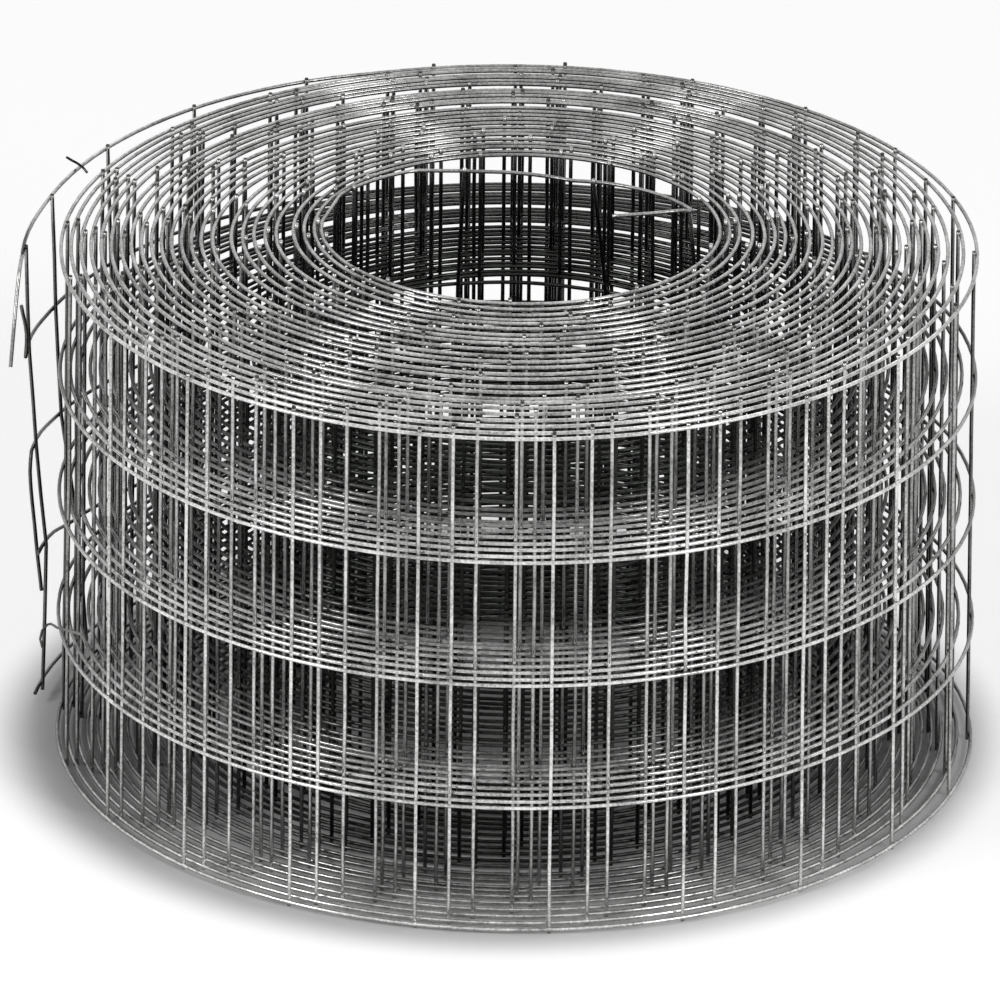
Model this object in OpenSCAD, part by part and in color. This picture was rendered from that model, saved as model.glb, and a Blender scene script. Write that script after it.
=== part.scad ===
// Roll of welded steel wire mesh, standing on its end.
// Z is up along the roll, the front is -Y, and the origin is on the ground under the middle of its box.
// The mesh winds outwards counter-clockwise as seen from above. Its inner end stands loose in the bore,
// and its outer end springs away from the roll at the left.

/* [Mesh] */
// Thickness of every wire
wire_d = 1.5; // [1.2:0.1:2]
// Spacing of the wires both ways, from centre to centre
cell = 50; // [40:1:60]
// Cells across the width of the mesh
rows = 4; // [3:1:6]
// Length of each cross wire past the edge line wires
overhang = 2; // [1.5:0.5:4]

/* [Roll] */
// Outside diameter of the wound turns
roll_d = 350; // [330:1:400]
// Diameter of the bore
bore_d = 147; // [130:1:160]
// How far the bore sits behind the middle of the roll
bore_back = 21; // [0:1:24]
// Turns of mesh between the bore and the outside
turns = 26; // [16:1:28]

/* [Loose ends] */
// How much wider in radius the outer end's curve is than the roll
outer_spring = 15; // [10:1:20]
// Cells of mesh in the loose outer end
outer_end_cells = 5; // [4:1:6]
// How much tighter in radius the inner end's curve is than the bore
inner_spring = 5.5; // [4:0.5:8]
// Cells of mesh in the loose inner end
inner_end_cells = 3; // [2:1:3]
// Length of each line wire past the last cross wire
tail = 8; // [4:1:16]
// Length of the top line wires that are bent away at the two ends
bent_tail = 28; // [10:1:32]

/* [Hidden] */
$fn = 48;

wire_r = wire_d / 2;
mesh_w = rows * cell + 2 * overhang;
// Each cross wire is sunk into the line wires by the weld, so their centres are this far apart
lap = 0.8 * wire_d;

// Line wires lie outside the cross wires all along the mesh
outer_line_r = roll_d / 2 - wire_r;
outer_cross_r = outer_line_r - lap;
inner_cross_r = bore_d / 2 + wire_r;
inner_line_r = inner_cross_r + lap;
bore_centre = [0, bore_back, 0];
// The turns between the outermost and the innermost are packed from wall to wall
packed_outer_r = outer_cross_r - wire_r;
packed_inner_r = inner_line_r + wire_r;
packed_turns = turns - 2;

// The outer end leaves the roll at the back, and the inner end leaves the bore wall at the back left
outer_from = 105;
outer_end_r = outer_line_r + outer_spring;
outer_end_centre = -outer_spring * [cos(outer_from), sin(outer_from), 0];
outer_end_step = cell / outer_end_r * 180 / PI;
outer_end_sweep = outer_end_cells * outer_end_step;
inner_from = 145;
inner_end_r = inner_line_r - inner_spring;
inner_end_centre = bore_centre + inner_spring * [cos(inner_from), sin(inner_from), 0];
inner_end_step = cell / inner_end_r * 180 / PI;
inner_end_sweep = inner_end_cells * inner_end_step;

// The turn under each loose end comes to light where the end has sprung clear of it
outer_hidden = hidden_sweep(outer_spring);
inner_hidden = hidden_sweep(inner_spring);
// Cross wires round the outermost and the innermost turn
outer_count = round(2 * PI * outer_line_r / cell);
inner_count = round(2 * PI * inner_line_r / cell);
// Slope of the bent wire at the outer end, and the heading of the one in the bore
outer_bend_drop = 50;
inner_bend_heading = 199;

// The loose outer end reaches further left than the roll, so the roll stands right of the middle
roll_x = (outer_end_r - outer_end_centre.x - outer_line_r) / 2;

// The top line wires, and how far a bent wire reaches back into the wire that it is bent from
top_edge = [0, 0, overhang + rows * cell];
bend_root = 0.3 * wire_d;

// The angle by which a loose end of a given spring stands well clear of the turn under it
function hidden_sweep(spring) = acos(1 - 1.4 * wire_d / spring);

// The place on a circle at an angle
function on_circle(centre, r, angle) = centre + r * [cos(angle), sin(angle), 0];

module at_roll() {
    translate([roll_x, 0, 0]) children();
}

// One line wire round part of a circle, at a height
module line_wire(centre, r, from, sweep, z) {
    translate([centre.x, centre.y, z])
        rotate([0, 0, from])
            rotate_extrude(angle = sweep)
                translate([r, 0]) circle(r = wire_r);
}

// The line wires of the whole width of the mesh
module line_wires(centre, r, from, sweep) {
    for (row = [0 : rows])
        line_wire(centre, r, from, sweep, overhang + row * cell);
}

// One cross wire at an angle of a circle
module cross_wire(centre, r, angle) {
    translate(centre) rotate([0, 0, angle + 180])
        translate([-r, 0, 0]) cylinder(r = wire_r, h = mesh_w);
}

// The turns packed between the bore and the outside. They show on both ends as rings,
// which reach as far as the cut ends of the cross wires do
module wound_turns() {
    color("dimgray") at_roll() {
        difference() {
            translate([0, 0, wire_r]) cylinder(r = packed_outer_r, h = mesh_w - wire_d);
            translate(bore_centre) cylinder(r = packed_inner_r, h = mesh_w);
        }
        for (turn = [1 : packed_turns], z = [wire_r, mesh_w - wire_r]) {
            out = (turn - 0.5) / packed_turns;
            centre = (1 - out) * bore_centre;
            r = (1 - out) * packed_inner_r + out * packed_outer_r;
            line_wire(centre, r, 0, 360, z);
        }
    }
}

// The outermost turn of mesh, wrapped round the packed turns
module outer_turn() {
    covered = floor(outer_hidden / 360 * outer_count);
    color("gray") at_roll() {
        line_wires([0, 0, 0], outer_line_r, outer_from + outer_hidden, 360 - outer_hidden);
        for (i = [0 : outer_count - 1 - covered])
            cross_wire([0, 0, 0], outer_cross_r, outer_from - i * 360 / outer_count);
    }
}

// The outer end of the mesh, sprung clear of the roll, with its top line wire bent down
module outer_end() {
    sweep = outer_end_sweep + tail / outer_end_r * 180 / PI;
    color("gray") at_roll() {
        line_wires(outer_end_centre, outer_end_r, outer_from, sweep);
        for (i = [1 : outer_end_cells])
            cross_wire(outer_end_centre, outer_end_r - lap, outer_from + i * outer_end_step);
        translate(on_circle(outer_end_centre, outer_end_r, outer_from + sweep) + top_edge)
            rotate([-90 - outer_bend_drop, 0, outer_from + sweep])
                translate([0, 0, -bend_root]) cylinder(r = wire_r, h = bent_tail + bend_root);
    }
}

// The innermost turn of mesh, lining the bore
module inner_turn() {
    covered = floor(inner_hidden / 360 * inner_count);
    color("gray") at_roll() {
        line_wires(bore_centre, inner_line_r, inner_from, 360 - inner_hidden);
        for (i = [0 : inner_count - 1 - covered])
            cross_wire(bore_centre, inner_cross_r, inner_from + i * 360 / inner_count);
    }
}

// The inner end of the mesh, sprung clear of the bore wall, with its top line wire bent back
module inner_end() {
    sweep = inner_end_sweep + tail / inner_end_r * 180 / PI;
    color("gray") at_roll() {
        line_wires(inner_end_centre, inner_end_r, inner_from - sweep, sweep);
        for (i = [1 : inner_end_cells])
            cross_wire(inner_end_centre, inner_end_r - lap, inner_from - i * inner_end_step);
        translate(on_circle(inner_end_centre, inner_end_r, inner_from - sweep) + top_edge)
            rotate([0, 90, inner_bend_heading])
                translate([0, 0, -bend_root]) cylinder(r = wire_r, h = bent_tail + bend_root);
    }
}

wound_turns();
outer_turn();
outer_end();
inner_turn();
inner_end();
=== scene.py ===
import math

import bpy
import numpy as np
from mathutils import Matrix, Vector


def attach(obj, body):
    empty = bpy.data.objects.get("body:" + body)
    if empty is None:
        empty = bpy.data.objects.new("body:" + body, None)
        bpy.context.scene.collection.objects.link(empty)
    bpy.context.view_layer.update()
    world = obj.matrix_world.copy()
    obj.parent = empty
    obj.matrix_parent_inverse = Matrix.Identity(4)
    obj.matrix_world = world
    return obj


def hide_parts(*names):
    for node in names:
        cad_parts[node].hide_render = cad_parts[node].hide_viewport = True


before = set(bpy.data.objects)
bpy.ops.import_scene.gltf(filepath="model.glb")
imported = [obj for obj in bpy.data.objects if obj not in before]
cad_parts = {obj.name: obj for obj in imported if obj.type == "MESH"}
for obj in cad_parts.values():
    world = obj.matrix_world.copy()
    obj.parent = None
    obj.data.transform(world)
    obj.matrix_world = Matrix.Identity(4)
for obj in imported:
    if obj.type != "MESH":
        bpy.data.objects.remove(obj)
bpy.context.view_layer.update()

# Camera: a long lens, seven metres off and a little above the roll, looking down on its top end.
# It is aimed at the middle of the picture and turned a little about its own line of sight.
MM = 0.001
roll_x = 5.56 * MM
foot_wire_z = 2.0 * MM
picture_px = 1000.0
sensor_mm = 36.0
view_distance = 6595.8 * MM
view_elevation = math.radians(24.723)
view_roll = math.radians(0.628)
lens_px = 17401.5
axis_px = (514.0, 489.69)

look = Vector((0.0, math.cos(view_elevation), -math.sin(view_elevation)))
level = Vector((1.0, 0.0, 0.0))
rise = level.cross(look)
eye = Vector((roll_x, 0.0, 0.1 + foot_wire_z)) - view_distance * look
turn_cos, turn_sin = math.cos(view_roll), math.sin(view_roll)
off_x, off_y = picture_px / 2 - axis_px[0], picture_px / 2 - axis_px[1]
aim = (turn_cos * off_x + turn_sin * off_y) * level - (turn_cos * off_y - turn_sin * off_x) * rise + lens_px * look
aim.normalize()
picture_right = turn_cos * level + turn_sin * rise
picture_right = (picture_right - picture_right.dot(aim) * aim).normalized()
picture_up = picture_right.cross(aim)

camera_data = bpy.data.cameras.new("camera")
camera_data.sensor_width = sensor_mm
camera_data.lens = lens_px / picture_px * sensor_mm
camera_data.clip_end = 100.0
camera = bpy.data.objects.new("camera", camera_data)
camera.matrix_world = Matrix((
    (picture_right.x, picture_up.x, -aim.x, eye.x),
    (picture_right.y, picture_up.y, -aim.y, eye.y),
    (picture_right.z, picture_up.z, -aim.z, eye.z),
    (0.0, 0.0, 0.0, 1.0)))
bpy.context.scene.collection.objects.link(camera)
bpy.context.scene.camera = camera
bpy.context.scene.view_settings.view_transform = "Standard"

# Studio: a plain pale floor, an even white surround and soft lamps in front of and behind the roll.
# Away from the roll the floor is lifted to white for the camera and for gloss; under the roll the lift is left off,
# so the floor there is painted darker as shade, on top of the roll's own shadow.
FLOOR_COLOR = (0.9, 0.9, 0.9, 1.0)
FLOOR_LIFT = 0.66
# The lift fades out between these distances from the roll's axis: painted shade on the floor under the roll
LIFT_FROM, LIFT_TO = 0.17, 0.2
SURROUND_LEVEL = 0.12

floor_mesh = bpy.data.meshes.new("floor")
floor_half = 12.0
floor_mesh.from_pydata([(-floor_half, -floor_half, 0), (floor_half, -floor_half, 0),
                        (floor_half, floor_half, 0), (-floor_half, floor_half, 0)], [], [(0, 1, 2, 3)])
floor = bpy.data.objects.new("floor", floor_mesh)
bpy.context.scene.collection.objects.link(floor)
floor_paint = bpy.data.materials.new("floor_paint")
floor_paint.use_nodes = True
nodes, links = floor_paint.node_tree.nodes, floor_paint.node_tree.links
paint = nodes["Principled BSDF"]
paint.inputs["Base Color"].default_value = FLOOR_COLOR
paint.inputs["Roughness"].default_value = 0.9
paint.inputs["Specular IOR Level"].default_value = 0.1
paint.inputs["Emission Color"].default_value = (1.0, 1.0, 1.0, 1.0)
seen = nodes.new("ShaderNodeLightPath")
seen_or_mirrored = nodes.new("ShaderNodeMath")
seen_or_mirrored.operation = "MAXIMUM"
links.new(seen.outputs["Is Camera Ray"], seen_or_mirrored.inputs[0])
links.new(seen.outputs["Is Glossy Ray"], seen_or_mirrored.inputs[1])
floor_place = nodes.new("ShaderNodeTexCoord")
from_middle = nodes.new("ShaderNodeVectorMath")
from_middle.operation = "LENGTH"
links.new(floor_place.outputs["Object"], from_middle.inputs[0])
# Painted shade: the white lift fades out towards the roll, so the floor under it stays darker
floor_lift_painted_shade = nodes.new("ShaderNodeMapRange")
floor_lift_painted_shade.interpolation_type = "SMOOTHSTEP"
floor_lift_painted_shade.inputs["From Min"].default_value = LIFT_FROM
floor_lift_painted_shade.inputs["From Max"].default_value = LIFT_TO
floor_lift_painted_shade.inputs["To Max"].default_value = FLOOR_LIFT
links.new(from_middle.outputs["Value"], floor_lift_painted_shade.inputs["Value"])
lift = nodes.new("ShaderNodeMath")
lift.operation = "MULTIPLY"
links.new(seen_or_mirrored.outputs[0], lift.inputs[0])
links.new(floor_lift_painted_shade.outputs["Result"], lift.inputs[1])
links.new(lift.outputs[0], paint.inputs["Emission Strength"])
floor.data.materials.append(floor_paint)

surround = bpy.data.worlds.new("surround")
surround.use_nodes = True
nodes, links = surround.node_tree.nodes, surround.node_tree.links
shell = nodes["Background"]
shell.inputs["Color"].default_value = (1.0, 1.0, 1.0, 1.0)
seen = nodes.new("ShaderNodeLightPath")
level_mix = nodes.new("ShaderNodeMapRange")
level_mix.inputs["To Min"].default_value = SURROUND_LEVEL
level_mix.inputs["To Max"].default_value = 1.0
seen_or_mirrored = nodes.new("ShaderNodeMath")
seen_or_mirrored.operation = "MAXIMUM"
links.new(seen.outputs["Is Camera Ray"], seen_or_mirrored.inputs[0])
links.new(seen.outputs["Is Glossy Ray"], seen_or_mirrored.inputs[1])
links.new(seen_or_mirrored.outputs[0], level_mix.inputs["Value"])
links.new(level_mix.outputs["Result"], shell.inputs["Strength"])
bpy.context.scene.world = surround


def soft_lamp(name, place, target, size, power):
    """A square soft lamp that faces a point."""
    data = bpy.data.lights.new(name, "AREA")
    data.size = size
    data.energy = power
    lamp = bpy.data.objects.new(name, data)
    lamp.location = place
    lamp.rotation_euler = (Vector(target) - Vector(place)).to_track_quat("-Z", "Y").to_euler()
    bpy.context.scene.collection.objects.link(lamp)


soft_lamp("left_lamp", (-2.6, -1.6, 1.9), (0, 0, 0.1), 1.0, 30.0)
soft_lamp("right_lamp", (2.2, -2.2, 1.9), (0, 0, 0.1), 1.0, 30.0)
soft_lamp("back_lamp", (0.3, 3.0, 2.4), (0, 0, 0.2), 1.0, 6.0)

# Line wires: the five long wires of the mesh, of drawn low-carbon steel, which run round the whole roll.
# They lie outside the cross wires, are wound tight at the back and looser at the front, and spring free
# at both ends, where the top one is bent over.
rng = np.random.RandomState(41)
wire_r = 0.75 * MM
lap = 1.2 * MM
cell = 50.0 * MM
levels = 5
turn_pitch = 2.7 * MM
outer_r = 172.75 * MM
foot_flare = 0.009
bore_line_r = 74.9 * MM
bore_place = (0.98 * MM, 23.72 * MM)
wall_turns = 24
wire_sides = 10
step_deg = 3.0

# The mesh is followed by one angle that grows by 360 degrees a turn. It leaves the loose inner end,
# meets the bore wall at wall_from, and ends at the loose outer end
inner_end_at = 15.0
wall_from = 157.0
outer_end_at = 182.7 + 25 * 360.0

# Slack that is left between one turn and the next, in millimetres from the bore outwards. At the back the
# turns lie tight but for three gaps, at the sides only the outer ones do, and in front they are spread out
back_slack = np.full(wall_turns + 2, 0.03)
back_slack[[12, 13, 18]] = (1.6, 2.0, 5.0)
left_slack = np.where(np.arange(wall_turns + 2) < 10, 1.1, 0.7)
left_slack[[3, 8]] = 3.0
right_slack = np.where(np.arange(wall_turns + 2) < 10, 1.1, 0.75)
right_slack[[3, 8, 23]] = (3.0, 3.0, 3.6)
front_rise_px = np.array([6, 6, 6, 3, 5, 7, 5, 4, 6, 7, 6, 5, 8, 4, 9, 5, 8, 3, 5, 6, 7, 6, 7, 6, 7, 6])
front_px_per_mm = 1.12
front_slack = np.maximum(front_rise_px / front_px_per_mm - turn_pitch / MM, 0.1)

# How far the loose outer end stands off, slides and drops at each level, by the angle past its last full turn
end_angle = [95.0, 105.0, 119.5, 135.5, 151.3, 166.8, 182.7, 187.0]
end_lift = [[0, 0, 2.0, 4.0, 4.8, 5.0, 6.2, 6.5],
            [0, 0, 2.0, 4.0, 5.0, 6.3, 6.7, 6.9],
            [0, 0, 2.5, 5.0, 6.5, 8.5, 8.1, 8.1],
            [0, 0, 2.8, 5.0, 6.2, 7.6, 9.2, 9.2],
            [0, 0, 2.8, 5.2, 6.2, 7.2, 10.5, 11.4]]
end_slide = [[0, 0, 0, -2.0, -5.0, -11.0, -11.5, -11.5],
             [0, 0, 0, -1.5, -4.0, -9.0, -13.8, -13.8],
             [0, 0, 0, -1.0, -2.5, -5.5, -9.3, -9.3],
             [0, 0, 0, -0.5, -1.0, -2.3, -3.6, -3.6],
             [0, 0, 0, 0, 0, 0, 0, 0]]
end_rise = [[0, 0, 0, 0.5, 1.0, 2.0, 3.0, 3.0],
            [0, 0, 0, 0.5, 1.5, 3.3, 8.5, 8.5],
            [0, 0, 0, 0.4, 1.0, 2.2, 6.0, 6.0],
            [0, 0, 0, 0.2, 0.5, 1.1, 3.5, 3.5],
            [0, 0, 0, 0, 0, 0, 1.0, 1.0]]
# How far the loose inner end stands into the bore, by the angle about the bore, at the top level
inner_angle = [0.0, 16.0, 70.0, 105.0, 117.0, 125.0, 157.0]
inner_inset = [5.0, 7.0, 19.0, 12.6, 8.0, 3.5, 0.0]
inner_share = [0.0, 0.0, 0.1, 0.35, 1.0]


def bore_wall(angle):
    """Distance from the roll's axis to the line wires at the bore wall, at an angle in radians."""
    reach = math.hypot(*bore_place)
    heading = math.atan2(bore_place[1], bore_place[0])
    along = reach * np.cos(angle - heading)
    across = reach * np.sin(angle - heading)
    return along + np.sqrt(bore_line_r ** 2 - across ** 2)


def shared_slack(weights, turn):
    """The share of the slack that lies inside a turn, from 0 at the bore to 1 at the outside."""
    steps = np.concatenate([[0.0], np.cumsum(weights)])
    whole = np.clip(np.floor(turn).astype(int), 0, len(weights) - 1)
    part = np.clip(turn - whole, 0.0, 1.0)
    part = part * part * (3 - 2 * part)
    total = np.cumsum(weights)[wall_turns - 1]
    return (steps[whole] + part * weights[whole]) / total


def eased(x, xs, ys):
    """A smooth curve through a table's points that doesn't overshoot."""
    xs, ys = np.asarray(xs, float), np.asarray(ys, float)
    slope = np.diff(ys) / np.diff(xs)
    tangent = np.zeros(len(xs))
    same = slope[1:] * slope[:-1] > 0
    tangent[1:-1][same] = 2 * (slope[1:] * slope[:-1])[same] / (slope[1:] + slope[:-1])[same]
    tangent[0], tangent[-1] = slope[0], slope[-1]
    x = np.clip(x, xs[0], xs[-1])
    i = np.clip(np.searchsorted(xs, x) - 1, 0, len(xs) - 2)
    h = xs[i + 1] - xs[i]
    t = (x - xs[i]) / h
    return ((2 * t ** 3 - 3 * t ** 2 + 1) * ys[i] + (t ** 3 - 2 * t ** 2 + t) * h * tangent[i]
            + (3 * t ** 2 - 2 * t ** 3) * ys[i + 1] + (t ** 3 - t ** 2) * h * tangent[i + 1])


# At the back the inner turns have slipped down a little along the roll
turn_height = rng.normal(0.0, 0.3, wall_turns + 6) - np.maximum(6.0 - 0.5 * np.arange(wall_turns + 6), 0.0)
turn_height[wall_turns + 1:] = 0.0
turn_height *= MM


def mesh_place(theta, row):
    """Where the mesh's line wire of a row is, at angles in degrees along the winding: rows of x, y, z."""
    theta = np.asarray(theta, float)
    turn = (theta - wall_from) / 360.0
    past = theta - 25 * 360.0
    slide = eased(past, end_angle, end_slide[row]) * (past > end_angle[0])
    angle = np.radians(theta + slide)
    flare = 1 + foot_flare * (1 - row / (levels - 1))
    wall = bore_wall(angle)
    thickness = outer_r * flare - wall
    slack = thickness - turn_pitch * wall_turns
    front = (1 - np.sin(angle)) / 2
    side = np.cos(angle) ** 2
    left = (1 - np.cos(angle)) / 2
    at_side = left * shared_slack(left_slack, turn) + (1 - left) * shared_slack(right_slack, turn)
    at_end = front * shared_slack(front_slack, turn) + (1 - front) * shared_slack(back_slack, turn)
    shared = side * at_side + (1 - side) * at_end
    r = wall + turn_pitch * (turn - 0.5) + slack * shared
    r = np.where(turn < 0.5, np.maximum(r, wall), r)
    r = r + eased(past, end_angle, end_lift[row]) * MM * (past > end_angle[0])
    x, y = r * np.cos(angle), r * np.sin(angle)
    # The loose inner end follows the bore's own circle, set in from its wall
    about = np.minimum(theta, wall_from)
    inset = np.interp(about, inner_angle, inner_inset) * inner_share[row] * MM
    bore_x = bore_place[0] + (bore_line_r - inset) * np.cos(np.radians(about))
    bore_y = bore_place[1] + (bore_line_r - inset) * np.sin(np.radians(about))
    loose = theta < wall_from
    x, y = np.where(loose, bore_x, x), np.where(loose, bore_y, y)
    height = (1 - front) ** 2 * np.interp(turn, np.arange(len(turn_height)) - 1.0, turn_height)
    z = foot_wire_z + row * cell + height
    z = z + eased(past, end_angle, end_rise[row]) * MM * (past > end_angle[0])
    z = np.maximum(z, foot_wire_z)
    return np.stack([x + roll_x, y, z + 0 * x], axis=-1)


def wire_tubes(name, paths, radius, sides):
    """One object of round wires with flat cut ends: each path is an array of points."""
    all_points, all_faces, start = [], [], 0
    around = np.arange(sides) / sides * 2 * math.pi
    for path in paths:
        path = np.asarray(path, float)
        ahead = np.gradient(path, axis=0)
        ahead /= np.linalg.norm(ahead, axis=1)[:, None]
        side = np.cross(ahead[0], (0, 0, 1)) if abs(ahead[0][2]) < 0.9 else np.cross(ahead[0], (1, 0, 0))
        rings = np.empty((len(path), sides, 3))
        for i, point in enumerate(path):
            side = side - side.dot(ahead[i]) * ahead[i]
            side /= math.sqrt(side.dot(side))
            other = np.array((ahead[i][1] * side[2] - ahead[i][2] * side[1],
                              ahead[i][2] * side[0] - ahead[i][0] * side[2],
                              ahead[i][0] * side[1] - ahead[i][1] * side[0]))
            rings[i] = point + radius * (np.cos(around)[:, None] * side + np.sin(around)[:, None] * other)
        all_points.append(rings.reshape(-1, 3))
        ring = np.arange(len(path) - 1)[:, None] * sides
        k = np.arange(sides)[None, :]
        k2 = (k + 1) % sides
        quads = np.stack([ring + k, ring + k2, ring + sides + k2, ring + sides + k], axis=-1).reshape(-1, 4) + start
        all_faces.extend(quads.tolist())
        last = start + (len(path) - 1) * sides
        all_faces.append([start + sides - 1 - i for i in range(sides)])
        all_faces.append([last + i for i in range(sides)])
        start += len(path) * sides
    mesh = bpy.data.meshes.new(name)
    mesh.from_pydata(np.concatenate(all_points).tolist(), [], all_faces)
    mesh.polygons.foreach_set("use_smooth", [len(face) == 4 for face in all_faces])
    mesh.update()
    piece = bpy.data.objects.new(name, mesh)
    bpy.context.scene.collection.objects.link(piece)
    return piece


# Painted light on the steel: a painted highlight by distance from the roll's axis, most in front, and on the top
# end, less towards the back; elsewhere painted shade darkens the colour to about a twentieth
PAINTED_LIGHT_REACH = (0.118, 0.17)
PAINTED_LIGHT_FRONT_Y = (0.02, -0.12)
PAINTED_LIGHT_TOP_BACK = (-0.1, 0.16)
BACK_SHARE = 0.7
BACK_SIDE_SHARE = 0.12
PAINTED_LIGHT_HEIGHT = (0.185, 0.201)
PAINTED_SHADE_SHARE = (0.05, 0.054, 0.049)
TOP_PAINTED_LIGHT = 0.66
CUT_TIP_HEIGHT = (0.2031, 0.2035)


def drawn_steel(name, dark, light, rough_low, rough_high):
    """Dull drawn steel wire: mottled oxide over grey metal, with fine drawing marks, a painted highlight on the
    outer turns and the top end, and painted shade deeper in the roll.
    """
    material = bpy.data.materials.new(name)
    material.use_nodes = True
    nodes, links = material.node_tree.nodes, material.node_tree.links
    steel = nodes["Principled BSDF"]
    steel.inputs["Metallic"].default_value = 1.0
    place = nodes.new("ShaderNodeTexCoord")
    blotches = nodes.new("ShaderNodeTexNoise")
    blotches.inputs["Scale"].default_value = 55.0
    blotches.inputs["Detail"].default_value = 6.0
    blotches.inputs["Roughness"].default_value = 0.65
    links.new(place.outputs["Object"], blotches.inputs["Vector"])
    grain = nodes.new("ShaderNodeTexNoise")
    grain.inputs["Scale"].default_value = 900.0
    grain.inputs["Detail"].default_value = 4.0
    links.new(place.outputs["Object"], grain.inputs["Vector"])
    mottle = nodes.new("ShaderNodeMath")
    mottle.operation = "MULTIPLY_ADD"
    mottle.inputs[1].default_value = 0.45
    links.new(grain.outputs["Fac"], mottle.inputs[0])
    spread = nodes.new("ShaderNodeMath")
    spread.operation = "MULTIPLY"
    spread.inputs[1].default_value = 0.6
    links.new(blotches.outputs["Fac"], spread.inputs[0])
    links.new(spread.outputs[0], mottle.inputs[2])
    tone = nodes.new("ShaderNodeValToRGB")
    tone.color_ramp.elements[0].position = 0.36
    tone.color_ramp.elements[0].color = (*dark, 1.0)
    tone.color_ramp.elements[1].position = 0.66
    tone.color_ramp.elements[1].color = (*light, 1.0)
    links.new(mottle.outputs[0], tone.inputs["Fac"])
    # Painted light: the steel keeps its full colour on the top end and on the outer turns, most of all in front, as
    # a painted highlight.
    # Deeper in the roll its colour is darkened nearly to black as painted shade
    from_axis = nodes.new("ShaderNodeVectorMath")
    from_axis.operation = "MULTIPLY_ADD"
    from_axis.inputs[1].default_value = (1.0, 1.0, 0.0)
    from_axis.inputs[2].default_value = (-roll_x, 0.0, 0.0)
    links.new(place.outputs["Object"], from_axis.inputs[0])
    reach = nodes.new("ShaderNodeVectorMath")
    reach.operation = "LENGTH"
    links.new(from_axis.outputs["Vector"], reach.inputs[0])
    at_side = nodes.new("ShaderNodeMapRange")
    at_side.inputs["From Min"].default_value = PAINTED_LIGHT_REACH[0]
    at_side.inputs["From Max"].default_value = PAINTED_LIGHT_REACH[1]
    links.new(reach.outputs["Value"], at_side.inputs["Value"])
    split = nodes.new("ShaderNodeSeparateXYZ")
    links.new(place.outputs["Object"], split.inputs["Vector"])
    at_top = nodes.new("ShaderNodeMapRange")
    at_top.inputs["From Min"].default_value = PAINTED_LIGHT_HEIGHT[0]
    at_top.inputs["From Max"].default_value = PAINTED_LIGHT_HEIGHT[1]
    at_top.inputs["To Max"].default_value = TOP_PAINTED_LIGHT
    links.new(split.outputs["Z"], at_top.inputs["Value"])
    in_front = nodes.new("ShaderNodeMapRange")
    in_front.interpolation_type = "SMOOTHSTEP"
    in_front.inputs["From Min"].default_value = PAINTED_LIGHT_FRONT_Y[0]
    in_front.inputs["From Max"].default_value = PAINTED_LIGHT_FRONT_Y[1]
    in_front.inputs["To Min"].default_value = BACK_SIDE_SHARE
    links.new(split.outputs["Y"], in_front.inputs["Value"])
    side_share = nodes.new("ShaderNodeMath")
    side_share.operation = "MULTIPLY"
    links.new(at_side.outputs["Result"], side_share.inputs[0])
    links.new(in_front.outputs["Result"], side_share.inputs[1])
    towards_back = nodes.new("ShaderNodeMapRange")
    towards_back.inputs["From Min"].default_value = PAINTED_LIGHT_TOP_BACK[0]
    towards_back.inputs["From Max"].default_value = PAINTED_LIGHT_TOP_BACK[1]
    towards_back.inputs["To Min"].default_value = 1.0
    towards_back.inputs["To Max"].default_value = BACK_SHARE
    links.new(split.outputs["Y"], towards_back.inputs["Value"])
    top_share = nodes.new("ShaderNodeMath")
    top_share.operation = "MULTIPLY"
    links.new(at_top.outputs["Result"], top_share.inputs[0])
    links.new(towards_back.outputs["Result"], top_share.inputs[1])
    painted_light_mask = nodes.new("ShaderNodeMath")
    painted_light_mask.operation = "MAXIMUM"
    links.new(side_share.outputs[0], painted_light_mask.inputs[0])
    links.new(top_share.outputs[0], painted_light_mask.inputs[1])
    # The cut tips of the cross wires stand past the edge wires; they are kept out of the painted highlight and so
    # take the painted shade
    below_tips = nodes.new("ShaderNodeMapRange")
    below_tips.inputs["From Min"].default_value = CUT_TIP_HEIGHT[0]
    below_tips.inputs["From Max"].default_value = CUT_TIP_HEIGHT[1]
    below_tips.inputs["To Min"].default_value = 1.0
    below_tips.inputs["To Max"].default_value = 0.0
    links.new(split.outputs["Z"], below_tips.inputs["Value"])
    painted_light_below_tips = nodes.new("ShaderNodeMath")
    painted_light_below_tips.operation = "MULTIPLY"
    links.new(painted_light_mask.outputs[0], painted_light_below_tips.inputs[0])
    links.new(below_tips.outputs["Result"], painted_light_below_tips.inputs[1])
    # Painted light: where the mask is full the steel keeps its colour as a painted highlight, elsewhere it takes
    # the painted shade
    painted_light_mix = nodes.new("ShaderNodeMix")
    painted_light_mix.data_type = "RGBA"
    links.new(painted_light_below_tips.outputs[0], painted_light_mix.inputs["Factor"])
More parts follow.
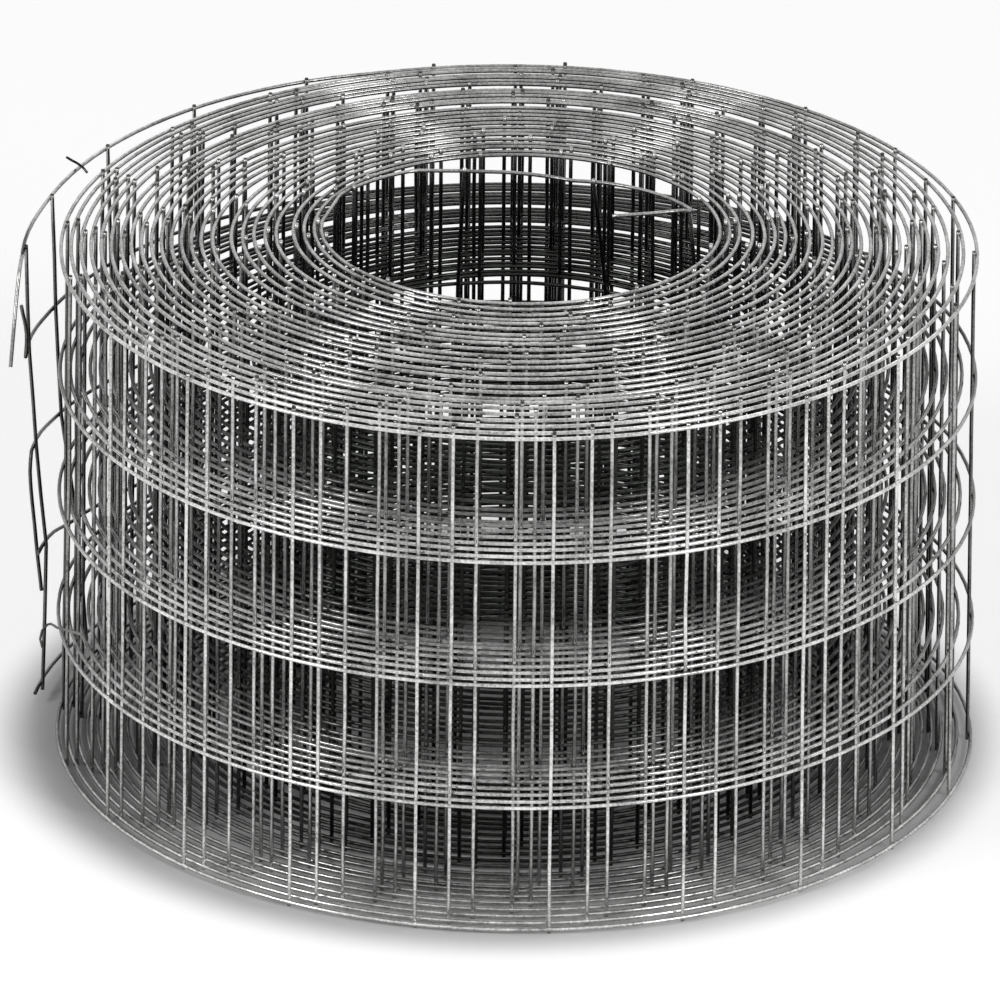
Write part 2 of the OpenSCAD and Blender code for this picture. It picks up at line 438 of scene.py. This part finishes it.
    # Painted shade: the steel's colour multiplied down to about a twentieth
    painted_shade = nodes.new("ShaderNodeMix")
    painted_shade.data_type = "RGBA"
    painted_shade.blend_type = "MULTIPLY"
    painted_shade.inputs["Factor"].default_value = 1.0
    painted_shade.inputs["B"].default_value = (*PAINTED_SHADE_SHARE, 1.0)
    links.new(tone.outputs["Color"], painted_shade.inputs["A"])
    links.new(painted_shade.outputs["Result"], painted_light_mix.inputs["A"])
    links.new(tone.outputs["Color"], painted_light_mix.inputs["B"])
    links.new(painted_light_mix.outputs["Result"], steel.inputs["Base Color"])
    rough = nodes.new("ShaderNodeMapRange")
    rough.inputs["From Min"].default_value = 0.35
    rough.inputs["From Max"].default_value = 0.65
    rough.inputs["To Min"].default_value = rough_high
    rough.inputs["To Max"].default_value = rough_low
    links.new(mottle.outputs[0], rough.inputs["Value"])
    links.new(rough.outputs["Result"], steel.inputs["Roughness"])
    marks = nodes.new("ShaderNodeBump")
    marks.inputs["Strength"].default_value = 0.25
    marks.inputs["Distance"].default_value = 0.00006
    links.new(grain.outputs["Fac"], marks.inputs["Height"])
    links.new(marks.outputs["Normal"], steel.inputs["Normal"])
    return material


wire_steel = drawn_steel("wire_steel", (0.22, 0.226, 0.218), (0.92, 0.92, 0.91), 0.1, 0.26)


def finish_piece(piece, material):
    """Gives a piece its steel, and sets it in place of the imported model's roll."""
    piece.data.materials.append(material)
    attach(piece, "root")
    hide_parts("wound_turns", "outer_turn", "outer_end", "inner_turn", "inner_end")


def bent_path(points, count):
    """A smooth path through a few points given in millimetres from the roll's axis and its foot wire."""
    points = np.asarray(points, float)
    run = np.concatenate([[0.0], np.cumsum(np.linalg.norm(np.diff(points, axis=0), axis=1))])
    at = np.linspace(0.0, run[-1], count)
    path = np.stack([eased(at, run, points[:, i]) for i in range(3)], axis=-1) * MM
    return path + np.array((roll_x, 0.0, foot_wire_z))


def in_mm(point):
    """A point of the mesh in millimetres from the roll's axis and its foot wire."""
    return (np.asarray(point) - np.array((roll_x, 0.0, foot_wire_z))) / MM


# The bent tails past the last cross wire of each end, in millimetres from the roll's axis and foot wire
outer_tails = {
    4: [(-186.3, -16.5, 199.5), (-187.3, -22.0, 192.0), (-188.3, -29.0, 181.0), (-189.6, -36.0, 165.0)],
    3: [(-184.6, -1.0, 161.0), (-186.4, -6.5, 177.0)],
    2: [(-183.6, 15.0, 104.0), (-184.0, 17.6, 98.0), (-182.2, 31.9, 62.0), (-180.2, 33.9, 40.0)],
}
inner_tail = [(61.0, 37.0, 200.0), (36.0, 31.0, 200.0)]

wound = np.append(np.arange(inner_end_at, outer_end_at, step_deg), outer_end_at)
for row in range(levels):
    wire = mesh_place(wound, row)
    tail_deg = 1.2 if row in outer_tails else 2.6
    wire = np.vstack([mesh_place([inner_end_at - 6.0, inner_end_at - 3.0], row), wire,
                      mesh_place([outer_end_at + tail_deg], row)])
    if row in outer_tails:
        tail = bent_path([in_mm(wire[-1])] + outer_tails[row], 14)[1:]
        wire = np.vstack([wire, tail])
    if row == levels - 1:
        tail = bent_path([in_mm(wire[2])] + inner_tail, 8)[1:]
        wire = np.vstack([tail[::-1], wire[2:]])
    line_wire = wire_tubes(f"line_wire_{row + 1}", [wire], wire_r, wire_sides)
    finish_piece(line_wire, wire_steel)

# Cross wires: short straight wires of the same steel, one every 50 mm along the mesh, on its inner side.
# Each is cut off about two millimetres past the edge line wires, and the roll stands on those tips.
overhang = 2.0 * MM
cross_pitch = 51.3 * MM
fine = np.arange(inner_end_at, outer_end_at, 0.5)
fine_place = mesh_place(fine, levels - 1)
run = np.concatenate([[0.0], np.cumsum(np.linalg.norm(np.diff(fine_place, axis=0), axis=1))])
# Where one stands in front on each of the five outer turns. Between two of these their number is whole
front_turns = np.array([20, 21, 22, 23, 24])
front_angles = front_turns * 360.0 + (273.0, 270.3, 282.9, 279.9, 274.9)
stops = np.concatenate([[inner_end_at], front_angles, [outer_end_at]])
stop_run = np.interp(stops, fine, run)
stop_count = np.append(0, np.cumsum(np.round(np.diff(stop_run) / cross_pitch)))
cross_run = np.interp(np.arange(stop_count[-1] + 1), stop_count, stop_run)
cross_at = np.interp(cross_run, run, fine)


def inward(theta, row):
    """The direction from a line wire to the cross wires inside it."""
    pair = mesh_place([theta - 0.2, theta + 0.2], row)
    ahead = pair[1] - pair[0]
    side = np.array((-ahead[1], ahead[0], 0.0))
    return side / np.linalg.norm(side)


crossings = []
cross_paths = []
for theta in cross_at:
    nodes_here = np.array([mesh_place([theta], row)[0] + lap * inward(theta, row) for row in range(levels)])
    crossings.append(nodes_here)
    low = nodes_here[0] + (nodes_here[0] - nodes_here[1]) / cell * (overhang + rng.uniform(-0.2, 0.2) * MM)
    high = nodes_here[-1] + (nodes_here[-1] - nodes_here[-2]) / cell * (overhang + rng.uniform(-0.5, 0.5) * MM)
    low[2] = max(low[2], 0.0)
    chain = [low]
    for row in range(levels):
        chain.append(nodes_here[row])
        if row < levels - 1:
            bow = rng.normal(0.0, 0.12, 2) * MM
            chain.append((nodes_here[row] + nodes_here[row + 1]) / 2 + np.array((bow[0], bow[1], 0.0)))
    chain.append(high)
    cross_paths.append(np.array(chain))
cross_wires = wire_tubes("cross_wires", cross_paths, wire_r, 8)
finish_piece(cross_wires, wire_steel)

# Welds: at every crossing the two wires are pressed together hot, which leaves a small squeezed collar.
# Each is a flattened bead between the line wire and the cross wire.
bead_ring = 6
bead_size = (0.62 * MM, 1.0 * MM)


def weld_beads(name, places, facings):
    """One object of small flattened beads, each facing along the line from cross wire to line wire."""
    points, faces = [], []
    for place, facing in zip(places, facings):
        start = len(points)
        side = np.array((-facing[1], facing[0], 0.0))
        up = np.array((0.0, 0.0, 1.0))
        points.append(place - bead_size[0] * facing)
        for share in (-0.5, 0.5):
            width = bead_size[1] * math.sqrt(1 - share * share)
            for k in range(bead_ring):
                turn = k / bead_ring * 2 * math.pi
                points.append(place + share * bead_size[0] * facing
                              + width * (math.cos(turn) * side + math.sin(turn) * up))
        points.append(place + bead_size[0] * facing)
        for k in range(bead_ring):
            k2 = (k + 1) % bead_ring
            faces.append((start, start + 1 + k2, start + 1 + k))
            faces.append((start + 1 + k, start + 1 + k2, start + 1 + bead_ring + k2, start + 1 + bead_ring + k))
            faces.append((start + 1 + 2 * bead_ring, start + 1 + bead_ring + k, start + 1 + bead_ring + k2))
    mesh = bpy.data.meshes.new(name)
    mesh.from_pydata([tuple(p) for p in points], [], faces)
    mesh.polygons.foreach_set("use_smooth", [True] * len(faces))
    mesh.update()
    piece = bpy.data.objects.new(name, mesh)
    bpy.context.scene.collection.objects.link(piece)
    return piece


bead_places, bead_facings = [], []
for theta, nodes_here in zip(cross_at, crossings):
    for row in range(levels):
        outward = -inward(theta, row)
        bead_places.append(nodes_here[row] + outward * lap / 2)
        bead_facings.append(outward)
welds = weld_beads("welds", bead_places, bead_facings)
weld_steel = drawn_steel("weld_steel", (0.05, 0.052, 0.05), (0.3, 0.3, 0.29), 0.35, 0.6)
finish_piece(welds, weld_steel)

# Tie wires: two short pieces of thin soft steel wire, hooked by hand round the loose outer end
# and a wire of the turn below it. One is at the top and one near the foot.
tie_r = 0.5 * MM
tie_steel = drawn_steel("tie_steel", (0.05, 0.05, 0.048), (0.3, 0.3, 0.29), 0.3, 0.5)
top_tie_points = [(-171.5, 75.0, 202.6), (-168.5, 71.0, 202.6), (-165.5, 68.5, 201.6), (-163.5, 67.0, 199.8)]
low_tie_points = [(-178.0, -30.0, 46.0), (-179.0, -27.0, 49.0), (-176.5, -24.0, 52.5), (-172.0, -34.0, 56.0),
                  (-166.0, -52.0, 63.0), (-161.0, -66.0, 68.0)]
top_tie = wire_tubes("tie_wire_top", [bent_path(top_tie_points, 12)], tie_r, 8)
finish_piece(top_tie, tie_steel)
low_tie = wire_tubes("tie_wire_low", [bent_path(low_tie_points, 18)], tie_r, 8)
finish_piece(low_tie, tie_steel)
